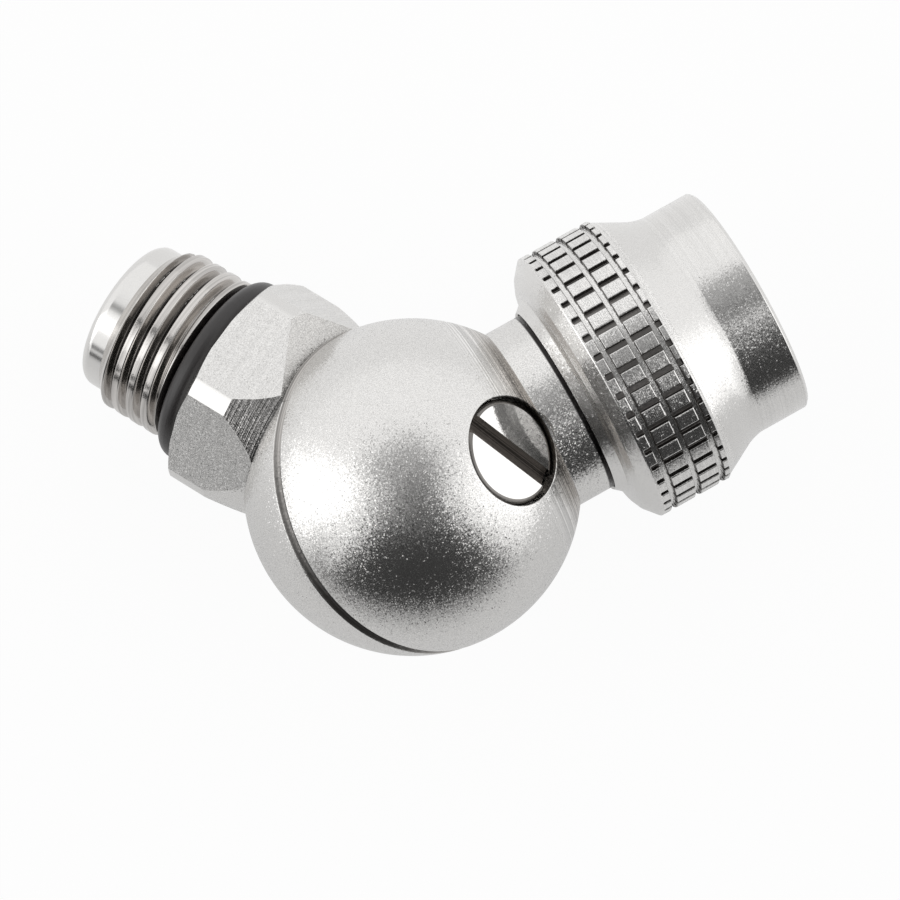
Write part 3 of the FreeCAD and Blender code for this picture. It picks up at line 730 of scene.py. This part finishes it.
def knurl_outline():
    """The knurled band with its ring grooves and broken edges."""
    outline = [(KNURL - 0.06, KNURL_FROM - 0.05), (KNURL - 0.01, KNURL_FROM + 0.02)]
    outline += [(KNURL, SLOT_FROM + r) for r in (-0.1, -0.06, -0.03, 0, 0.015, 0.03, 0.07)]
    for middle in RING_GROOVES:
        outline += [(KNURL - drop, height) for height, drop in groove_steps(middle)]
    outline += [(KNURL, KNURL_TO - 0.12), (KNURL, KNURL_TO - 0.04), (KNURL - 0.05, KNURL_TO + 0.04)]
    return outline


def barrel_outline():
    """The waist, the barrel and its rounded end."""
    outline = fine_line((KNURL - KNURL_BREAK, KNURL_TO + KNURL_BREAK), WAIST_CONE[0], 6)
    outline += [WAIST_CONE[1]]
    outline += arc(WAIST_CONE[2], (BARREL, BARREL_FROM), WAIST_ROUND, -1, 10)
    outline += [(BARREL, BARREL_FROM), (BARREL, BARREL_FROM + EDGE)]
    outline += [(BARREL, BARREL_END[0][1] - EDGE)] + BARREL_END
    return outline


def nut_inside():
    """The nut's inside from its mouth to the skirt."""
    outline = [NUT_MOUTH, (NUT_THREAD, NUT_THREAD_TO)]
    outline += fine_line((NUT_THREAD, NUT_THREAD_TO), (NUT_THREAD, NUT_THREAD_FROM), 90)[1:]
    outline += [(NUT_RELIEF, NUT_RELIEF_END), (NUT_RELIEF, WEB_FRONT), (WEB, WEB_FRONT)]
    outline += [(WEB, WEB_BACK), (SKIRT, WEB_BACK), (SKIRT, SKIRT_BREAK)]
    return outline


# Finish of each face

# Each function gets the face's middle and direction about the piece's axis. Its bare limits lie
# between the surfaces that they part.

def male_zone(middle, direction):
    """Rough on the flat that clears the front half, lined and painted darker as shade on one side of the cone."""
    x, y, height = middle
    radius = math.hypot(x, y)
    from_centre = math.hypot(x, y, height)
    bore_side = 5.8
    if direction @ SWIVEL_IN_MALE > 0.99 and height > CONE_FROM[1]:
        return ROUGH
    # The rim's chamfer lies in the split between the halves and is painted dark as shade
    on_rim = SPLIT_BACK - RIM_BREAK - NEAR < middle @ SWIVEL_IN_MALE < 0
    if on_rim and 12 < from_centre < BALL + 0.01:
        return RIM
    if HEX_FACE + NEAR < height < THREAD_TO and radius > bore_side:
        return THREAD
    if height > HEX_FACE + NEAR or radius < bore_side:
        return POLISHED
    if height < HEX_FROM - 0.6 or from_centre < BALL + 0.03:
        return SATIN
    for k in range(6):
        turn = HEX_TURN + math.radians(60 * k)
        if direction[0] * math.cos(turn) + direction[1] * math.sin(turn) > 0.9995:
            return MILLED
    if CONE_TO[1] + NEAR < height < HEX_CHAMFER_FROM - NEAR:
        return POLISHED
    # One side of the cone is lined and painted darker as shade
    facing = x * math.cos(LINED_SIDE) + y * math.sin(LINED_SIDE)
    return CONE if height < CONE_TO[1] and facing > 0.8 * radius else SATIN


def nut_zone(middle, direction):
    """Brushed barrel, milled knurl with rougher slots painted dark as shade, plain inner thread and satin
    elsewhere.
    """
    x, y, height = middle
    radius = math.hypot(x, y)
    if height > BARREL_FROM - 0.5 and radius > 9.2:
        return NUT_BARREL
    if height > 22.3 and radius < 7.9:
        return NUT_INSIDE
    if not (KNURL_FROM - 0.06 < height < KNURL_TO + 0.6 and radius > 11):
        return NUT_SATIN
    if any(abs(height - groove) < RING_WIDTH / 2 - 0.06 for groove in RING_GROOVES):
        return NUT_KNURL
    # Slots and steep walls in the knurl get the rougher steel that is painted dark as shade
    steep = abs(direction[2]) > 0.6 and height < KNURL_TO
    rough_and_shaded = steep or radius < KNURL - 0.1 and in_knurl_slot(x, y, height)
    return NUT_SLOT if rough_and_shaded else NUT_KNURL


def in_knurl_slot(x, y, height):
    angle = math.atan2(y, x) - NUT_TURN
    return SLOT_FROM - 0.06 < height < SLOT_TO + 0.06 and from_slot(angle) < SLOT_HALF + 0.01


def bolt_zone(middle, direction):
    """The bolt's slot is left as cut and its bevel is dull, both painted dark as shade; the rest is polished."""
    x, y, height = middle
    across = abs(y * math.cos(SLOT_TURN) - x * math.sin(SLOT_TURN))
    in_depth = HEAD_TOP - SLOT_DEPTH - 0.03 < height < HEAD_TOP - 0.06
    if in_depth and across < SLOT_WIDTH / 2 + NEAR:
        return BOLT_SLOT
    return BOLT_BEVEL if height > HEAD_UNDER and 0.15 < direction[2] < 0.97 else BOLT_POLISHED


# Shader nodes

def feed(tree, value, socket):
    """Links another node's socket into this one, or sets a plain value on it."""
    if isinstance(value, bpy.types.NodeSocket):
        tree.links.new(value, socket)
    else:
        socket.default_value = value


def math_node(tree, operation, *inputs):
    node = tree.nodes.new("ShaderNodeMath")
    node.operation = operation
    for value, socket in zip(inputs, node.inputs):
        feed(tree, value, socket)
    return node.outputs[0]


def vector_node(tree, operation, first, second, result="Vector"):
    node = tree.nodes.new("ShaderNodeVectorMath")
    node.operation = operation
    feed(tree, first, node.inputs[0])
    feed(tree, second, node.inputs["Scale"] if operation == "SCALE" else node.inputs[1])
    return node.outputs[result]


def ramp(tree, value, low, high, to_low=0.0, to_high=1.0):
    """Goes smoothly from one level to the other while the value goes from low to high."""
    node = tree.nodes.new("ShaderNodeMapRange")
    node.interpolation_type = "SMOOTHSTEP"
    tree.links.new(value, node.inputs["Value"])
    node.inputs["From Min"].default_value = low
    node.inputs["From Max"].default_value = high
    node.inputs["To Min"].default_value = to_low
    node.inputs["To Max"].default_value = to_high
    return node.outputs["Result"]


def mix_color(tree, factor, first, second):
    node = tree.nodes.new("ShaderNodeMix")
    node.data_type = "RGBA"
    tree.links.new(factor, node.inputs["Factor"])
    color_sockets = (node.inputs[6], node.inputs[7])
    for color, socket in zip((first, second), color_sockets):
        feed(tree, (*color, 1) if isinstance(color, tuple) else color, socket)
    return node.outputs[2]


def mix_shader(tree, factor, first, second):
    node = tree.nodes.new("ShaderNodeMixShader")
    tree.links.new(factor, node.inputs["Fac"])
    tree.links.new(first.outputs[0], node.inputs[1])
    tree.links.new(second.outputs[0], node.inputs[2])
    return node.outputs[0]


def place(tree):
    return tree.nodes.new("ShaderNodeTexCoord").outputs["Object"]


def along(tree, axis):
    """Distance in metres along an axis from the ball's centre."""
    shifted = vector_node(tree, "SUBTRACT", place(tree), BALL_CENTRE)
    return vector_node(tree, "DOT_PRODUCT", shifted, axis, "Value")


def noise(tree, scale, detail=2.0, vector=None):
    node = tree.nodes.new("ShaderNodeTexNoise")
    node.inputs["Scale"].default_value = scale
    node.inputs["Detail"].default_value = detail
    tree.links.new(vector if vector is not None else place(tree), node.inputs["Vector"])
    return node.outputs["Fac"]


def streaks(tree, axis, pitch):
    """Noise that changes fast along an axis and hardly across it, for turned and milled lines."""
    wander = 40
    fast = math_node(tree, "MULTIPLY", along(tree, axis), 1 / (pitch * MM))
    line = tree.nodes.new("ShaderNodeCombineXYZ")
    tree.links.new(fast, line.inputs[0])
    slow = vector_node(tree, "SCALE", place(tree), wander)
    return noise(tree, 1.0, 2.0, vector_node(tree, "ADD", slow, line.outputs[0]))


def bump(tree, height, distance, strength=1.0):
    """Normal of a surface that rises with height by up to the distance in millimetres."""
    node = tree.nodes.new("ShaderNodeBump")
    node.inputs["Distance"].default_value = distance * MM
    feed(tree, strength, node.inputs["Strength"])
    tree.links.new(height, node.inputs["Height"])
    return node.outputs["Normal"]


def flakes(tree, size, tilt, before=None):
    """Tips the normal a random way in each small cell, as blasting leaves it: most cells a
    little and few a lot."""
    cells = tree.nodes.new("ShaderNodeTexVoronoi")
    cells.inputs["Scale"].default_value = size
    tree.links.new(place(tree), cells.inputs["Vector"])
    if before is None:
        before = tree.nodes.new("ShaderNodeNewGeometry").outputs["Normal"]
    lean = vector_node(tree, "SUBTRACT", cells.outputs["Color"], (0.5, 0.5, 0.5))
    squared = vector_node(tree, "DOT_PRODUCT", lean, lean, "Value")
    amount = math_node(tree, "MULTIPLY", squared, tilt)
    return vector_node(tree, "ADD", before, vector_node(tree, "SCALE", lean, amount))


def tint(tree, color, noise_value, spread):
    """The colour times a factor about 1 that goes up and down with noise by the spread."""
    usual_low = 0.3
    usual_high = 0.7
    factor = ramp(tree, noise_value, usual_low, usual_high, 1 - spread, 1 + spread)
    return vector_node(tree, "SCALE", color, factor)


# Materials

# Grain is in cells per metre, other lengths are in millimetres.

STEEL = (0.76, 0.75, 0.735)
WARM_STEEL = (0.46, 0.43, 0.40)
PLAIN_STEEL = (0.6, 0.59, 0.575)
# The cone's turned lines on one side, painted darker there as shade
SHADED_CONE_STEEL = (0.45, 0.44, 0.43)
THREAD_STEEL = (0.58, 0.56, 0.54)
# Knurl slots: a rougher steel, painted dark as the shade in them
SHADED_SLOT_STEEL = (0.17, 0.162, 0.155)
# The bolt's slot walls, painted dark as shade
SHADED_DRIVE_STEEL = (0.1, 0.089, 0.08)
# The bolt head's bevel, painted dark as the shade of the gap round the head
SHADED_BEVEL_STEEL = (0.2, 0.19, 0.18)
# The rim's chamfer in the split between the halves: turned lines, painted dark as shade
SHADED_RIM_STEEL = (0.38, 0.365, 0.35)
# Near black, painted as shade into deep thread grooves and onto the neck where the nut covers it
PAINTED_SHADE = (0.03, 0.028, 0.027)
BLACK_RUBBER = (0.035, 0.032, 0.032)
BLACK_PLASTIC = (0.04, 0.04, 0.04)
WHITE_PLASTIC = (0.8, 0.79, 0.76)
GRAIN = 12000
COARSE_GRAIN = 11000
SATIN_ROUGHNESS = 0.23
SATIN_TILT = 0.7
SATIN_SPECKLE = 0.13

# Heights along the neck over which a finish sets in, and over which the painted shade under the nut sets in

NECK_LINES = (7.2, 10.0)
NECK_BROWN = (8.8, 10.7)
BALL_ONLY = (10.86, 10.80)
SHADE_UNDER_NUT = (13.42, 13.56)

# Inner and outer radius, and first and last height, of the painted shade in the male thread's grooves

THREAD_SHADOW = (6.31, 6.42, 20.7, 25.6)


def new_material(name, color, roughness, metallic=1.0):
    material = bpy.data.materials.new(name)
    material.use_nodes = True
    shader = material.node_tree.nodes["Principled BSDF"]
    shader.inputs["Base Color"].default_value = (*color, 1)
    shader.inputs["Roughness"].default_value = roughness
    shader.inputs["Metallic"].default_value = metallic
    return material, material.node_tree, shader


def steel(name, roughness, tilt=0.0, color=STEEL, lines=None, size=GRAIN, speckle=0.0, shadow=None):
    """Steel whose grain has a tilt and a speckle. Lines are (axis, pitch, height, spread).
    A shadow is (axis, inner radius, outer radius, first and last height) of deep grooves painted dark as shade."""
    material, tree, shader = new_material(name, color, roughness)
    normal = None
    level = color
    if speckle:
        level = tint(tree, level, noise(tree, size, 1.0), speckle)
    if lines:
        axis, pitch, height, spread = lines
        line = streaks(tree, axis, pitch)
        normal = bump(tree, line, height)
        if spread:
            level = tint(tree, level, line, spread)
    if tilt:
        normal = flakes(tree, size, tilt, normal)
    if shadow:
        # Painted shade: deep grooves are mixed towards near black
        level = mix_color(tree, groove_shade_mask(tree, *shadow), level, PAINTED_SHADE)
    if level is not color:
        tree.links.new(level, shader.inputs["Base Color"])
    if normal is not None:
        tree.links.new(normal, shader.inputs["Normal"])
    return material


def span(tree, value, low, high):
    """Goes smoothly from 0 to 1 while a distance goes from low to high in millimetres."""
    return ramp(tree, value, low * MM, high * MM)


def groove_shade_mask(tree, axis, inner, outer, first, last):
    """1 deep in a groove about an axis and 0 at its crests, from the first height to the last: where painted shade
    goes.
    """
    soft_start = 0.3
    soft_end = 0.1
    run = along(tree, axis)
    away = vector_node(tree, "DISTANCE", place(tree), BALL_CENTRE, "Value")
    away_squared = math_node(tree, "POWER", away, 2.0)
    run_squared = math_node(tree, "POWER", run, 2.0)
    radius = math_node(tree, "SQRT", math_node(tree, "SUBTRACT", away_squared, run_squared))
    deep = span(tree, radius, outer, inner)
    begun = span(tree, run, first - soft_start, first + soft_start)
    ended = span(tree, run, last + soft_end, last - soft_end)
    return math_node(tree, "MULTIPLY", deep, math_node(tree, "MULTIPLY", begun, ended))


def neck_steel():
    """Blasted steel whose ball shows dark turned lines where it meets the neck. The neck is painted dark as shade
    where the nut covers it."""
    material, tree, shader = new_material("steel_satin_neck", STEEL, SATIN_ROUGHNESS)
    run = along(tree, NECK_AXIS)
    on_ball = span(tree, run, *BALL_ONLY)
    lined = math_node(tree, "MULTIPLY", span(tree, run, *NECK_LINES), on_ball)
    browned = math_node(tree, "MULTIPLY", span(tree, run, *NECK_BROWN), on_ball)
    shade_under_nut = span(tree, run, *SHADE_UNDER_NUT)
    line = streaks(tree, NECK_AXIS, 0.1)
    normal = flakes(tree, GRAIN, SATIN_TILT, bump(tree, line, 0.01, lined))
    blasted = tint(tree, STEEL, noise(tree, GRAIN, 1.0), SATIN_SPECKLE)
    turned_steel = tint(tree, mix_color(tree, browned, STEEL, WARM_STEEL), line, 0.4)
    # Painted shade on the neck where the nut covers it
    color = mix_color(tree, shade_under_nut, mix_color(tree, lined, blasted, turned_steel), PAINTED_SHADE)
    tree.links.new(color, shader.inputs["Base Color"])
    tree.links.new(normal, shader.inputs["Normal"])
    return material


def dull(name, color, roughness, size, height):
    """Rubber or plastic, faintly uneven by the height."""
    material, tree, shader = new_material(name, color, roughness, 0.0)
    tree.links.new(bump(tree, noise(tree, size), height), shader.inputs["Normal"])
    return material


def male_steels():
    """One steel for each finish from SATIN to THREAD."""
    return [
        steel("steel_satin", SATIN_ROUGHNESS, SATIN_TILT, speckle=SATIN_SPECKLE),
        steel("steel_milled", 0.28, 0.5, lines=(MALE_AXIS, 0.1, 0.003, 0.05), speckle=0.15),
        steel("steel_turned_cone_painted_shade", 0.2, 0.9, SHADED_CONE_STEEL, (MALE_AXIS, 0.07, 0.03, 0.75), speckle=0.3),
        steel("steel_polished", 0.15, speckle=0.03),
        steel("steel_rough", 0.38, 0.5, PLAIN_STEEL, size=COARSE_GRAIN, speckle=0.2),
        steel("steel_rim_painted_shade", 0.28, 0.5, SHADED_RIM_STEEL, (SWIVEL_AXIS, 0.1, 0.006, 0.4)),
        # The thread's deep grooves are painted dark as shade
        steel("steel_male_thread", 0.13, 0.1, THREAD_STEEL, (MALE_AXIS, 0.15, 0.0015, 0.2),
              shadow=(MALE_AXIS, *THREAD_SHADOW)),
    ]


def nut_steels():
    """One steel for each finish from NUT_SATIN to NUT_SLOT."""
    return [
        steel("steel_satin_nut", SATIN_ROUGHNESS, 0.4, speckle=0.06),
        steel("steel_knurl", 0.19, 0.4, lines=(NECK_AXIS, 0.08, 0.004, 0.08), speckle=0.2),
        steel("steel_turned_barrel", 0.19, 0.35, lines=(NECK_AXIS, 0.06, 0.003, 0.05), speckle=0.08),
        steel("steel_nut_thread", 0.1, lines=(NECK_AXIS, 0.1, 0.0008, 0)),
        # Rougher steel, painted dark as the shade in the slots
        steel("steel_slots_painted_shade", 0.3, 0.3, SHADED_SLOT_STEEL),
    ]


def bolt_steels():
    """One steel for each finish from BOLT_POLISHED to BOLT_BEVEL."""
    across_slot = ABOUT_SWIVEL @ Vector((-math.sin(SLOT_TURN), math.cos(SLOT_TURN), 0))
    return [
        steel("steel_polished_bolt", 0.06, 0.03),
        # The slot and the bevel are painted dark as shade
        steel("steel_slot_painted_shade", 0.33, 0.2, SHADED_DRIVE_STEEL, (across_slot, 0.1, 0.006, 0.7)),
        steel("steel_bolt_bevel_painted_shade", 0.2, 0.1, SHADED_BEVEL_STEEL),
    ]


# Studio

# Discs are (heading, height, radius, edge, brightness) and patches are (heading, half turn, low,
# high, edge, brightness), in degrees. The last two patches are the tall lights left and right of
# the part, and the rest are the dark room and the camera above.

SKY = 1.04
DISCS = [
    (95, 80, 24, 7, 0.42),
    (150, 59, 5.5, 4, 0.16),
    (-10, 86, 12, 6, 0.18),
    (-147, 12, 4.5, 2, 0.08),
]
PATCHES = [
    (-125, 30, 56, 80, 8, 0.3),
    (-66, 39, 56, 80, 8, 0.1),
    (-85, 49, -4, 60, 5, 0.04),
    (-139, 7, -4, 5, 3, 0.05),
    (-178, 18, -10, 51.5, 3, 1.75),
    (4, 22, -3, 48, 5, 1.5),
]
FLOOR_HALF_SIDE = 0.25
FLOOR_WHITE = (0.95, 0.95, 0.95, 1)
CAMERA_SENSOR = 36
CAMERA_LENS = 202.6
CAMERA_FROM_BALL = Vector((2.965, 2.920, 399.0))

# How much of the floor glows by itself where the camera sees it and where metal mirrors it

GLOW_SEEN = 0.95
GLOW_MIRRORED = 0.7

# How much darker metal mirrors the floor, as (all below, none above, amount) along Y,
# the first two in millimetres

FLOOR_DIMMING = ((-20, 20, 0.3), (-180, -30, 0.55))


def patch(tree, direction, heading, half_turn, low, high, edge):
    """A patch of the sky about a heading, between two heights. All in degrees, with a soft edge."""
    turn = math.radians(heading)
    forward = (math.cos(turn), math.sin(turn), 0)
    sideways = (-math.sin(turn), math.cos(turn), 0)
    ahead, aside, up = [
        vector_node(tree, "DOT_PRODUCT", direction, axis, "Value")
        for axis in (forward, sideways, (0, 0, 1))
    ]
    side = math_node(tree, "ABSOLUTE", math_node(tree, "ARCTAN2", aside, ahead))
    rise = math_node(tree, "ARCSINE", up)
    soft = math.radians(edge)
    mask = ramp(tree, side, math.radians(half_turn) + soft, math.radians(half_turn) - soft)
    over = ramp(tree, rise, math.radians(low) - soft, math.radians(low) + soft)
    under = ramp(tree, rise, math.radians(high) + soft, math.radians(high) - soft)
    return math_node(tree, "MULTIPLY", math_node(tree, "MULTIPLY", mask, over), under)


def disc(tree, direction, heading, height, radius, edge):
    """A round patch of the sky about a heading and a height. All in degrees, with a soft edge."""
    turn = math.radians(heading)
    rise = math.radians(height)
    middle = (math.cos(turn) * math.cos(rise), math.sin(turn) * math.cos(rise), math.sin(rise))
    away = math_node(
        tree, "ARCCOSINE", vector_node(tree, "DOT_PRODUCT", direction, middle, "Value")
    )
    return ramp(tree, away, math.radians(radius + edge), math.radians(radius - edge))


def make_world():
    """The studio that the steel mirrors, and plain white where the camera sees past the floor."""
    world = bpy.data.worlds.new("studio")
    bpy.context.scene.world = world
    world.use_nodes = True
    tree = world.node_tree
    tree.nodes.clear()
    direction = tree.nodes.new("ShaderNodeTexCoord").outputs["Generated"]
    level = SKY
    lights = [(disc(tree, direction, *spot[:-1]), spot[-1]) for spot in DISCS]
    lights += [(patch(tree, direction, *spot[:-1]), spot[-1]) for spot in PATCHES]
    for mask, brightness in lights:
        node = tree.nodes.new("ShaderNodeMix")
        feed(tree, mask, node.inputs["Factor"])
        feed(tree, level, node.inputs["A"])
        feed(tree, brightness, node.inputs["B"])
        level = node.outputs["Result"]
    studio = tree.nodes.new("ShaderNodeBackground")
    tree.links.new(level, studio.inputs["Color"])
    white = tree.nodes.new("ShaderNodeBackground")
    white.inputs["Color"].default_value = (1, 1, 1, 1)
    white.inputs["Strength"].default_value = 1.0
    rays = tree.nodes.new("ShaderNodeLightPath")
    out = tree.nodes.new("ShaderNodeOutputWorld")
    tree.links.new(
        mix_shader(tree, rays.outputs["Is Camera Ray"], studio, white), out.inputs["Surface"]
    )


def make_floor():
    """White floor that takes the part's shadow. It is mirrored darker on the near side."""
    side = FLOOR_HALF_SIDE
    points = [(-side, -side, 0), (side, -side, 0), (side, side, 0), (-side, side, 0)]
    floor = mesh_object("floor", points, [(0, 1, 2, 3)])
    material = bpy.data.materials.new("floor_white")
    material.use_nodes = True
    tree = material.node_tree
    tree.nodes.clear()
    matte = tree.nodes.new("ShaderNodeBsdfDiffuse")
    matte.inputs["Color"].default_value = FLOOR_WHITE
    glow = tree.nodes.new("ShaderNodeEmission")
    rays = tree.nodes.new("ShaderNodeLightPath")
    apart = tree.nodes.new("ShaderNodeSeparateXYZ")
    tree.links.new(place(tree), apart.inputs[0])
    near, far = [
        ramp(tree, apart.outputs["Y"], low * MM, high * MM, amount, 0.0)
        for low, high, amount in FLOOR_DIMMING
    ]
    dimmer = math_node(tree, "ADD", near, far)
    dimmed = math_node(tree, "MULTIPLY", dimmer, rays.outputs["Is Glossy Ray"])
    tree.links.new(math_node(tree, "SUBTRACT", 1.0, dimmed), glow.inputs["Strength"])
    seen = math_node(tree, "MULTIPLY", rays.outputs["Is Camera Ray"], GLOW_SEEN)
    mirrored = math_node(tree, "MULTIPLY", rays.outputs["Is Glossy Ray"], GLOW_MIRRORED)
    share = math_node(tree, "MAXIMUM", seen, mirrored)
    out = tree.nodes.new("ShaderNodeOutputMaterial")
    tree.links.new(mix_shader(tree, share, matte, glow), out.inputs["Surface"])
    floor.data.materials.append(material)


def make_camera():
    """Straight above the part, as in the photograph, with X to the right and Y up."""
    camera = bpy.data.objects.new("camera", bpy.data.cameras.new("camera"))
    bpy.context.scene.collection.objects.link(camera)
    camera.data.sensor_width = CAMERA_SENSOR
    camera.data.lens = CAMERA_LENS
    camera.data.clip_start = 0.01
    camera.data.clip_end = 10
    camera.location = BALL_CENTRE + CAMERA_FROM_BALL * MM
    bpy.context.scene.camera = camera


# The scene

make_camera()
make_world()
make_floor()

settle(make_swivel_body(), "swivel_body", "neck_side", [neck_steel()])
settle(
    make_male_body(), "male_body", "male_side", male_steels(), ABOUT_MALE, male_zone
)
settle(make_nut(), "coupling_nut", "nut", nut_steels(), ABOUT_NECK, nut_zone)
settle(
    make_bolt(), "pivot_bolt", "male_side", bolt_steels(), ABOUT_SWIVEL, bolt_zone
)

# The pieces whose solids are shown as they are

rubber = dull("rubber_black", BLACK_RUBBER, 0.34, 3000, 0.004)
SHOWN = {
    "thread_o_ring": rubber,
    "head_seal_ring": rubber,
    "face_seal_ring": rubber,
    "base_seal_ring": rubber,
    "nozzle_seal_ring": rubber,
    "nozzle_base_ring": rubber,
    "head_washer": dull("plastic_white_head", WHITE_PLASTIC, 0.4, 4000, 0.003),
    "nut_washer": dull("plastic_white_nut", WHITE_PLASTIC, 0.4, 4000, 0.003),
    "split_washer": dull("plastic_black", BLACK_PLASTIC, 0.4, 4000, 0.003),
    "nozzle": steel("steel_polished_nozzle", 0.12, lines=(NECK_AXIS, 0.1, 0.001, 0)),
}
for node, material in SHOWN.items():
    piece = frame["nodes"][node]
    piece.data.materials.clear()
    piece.data.materials.append(material)

bpy.context.scene.view_settings.view_transform = "Standard"
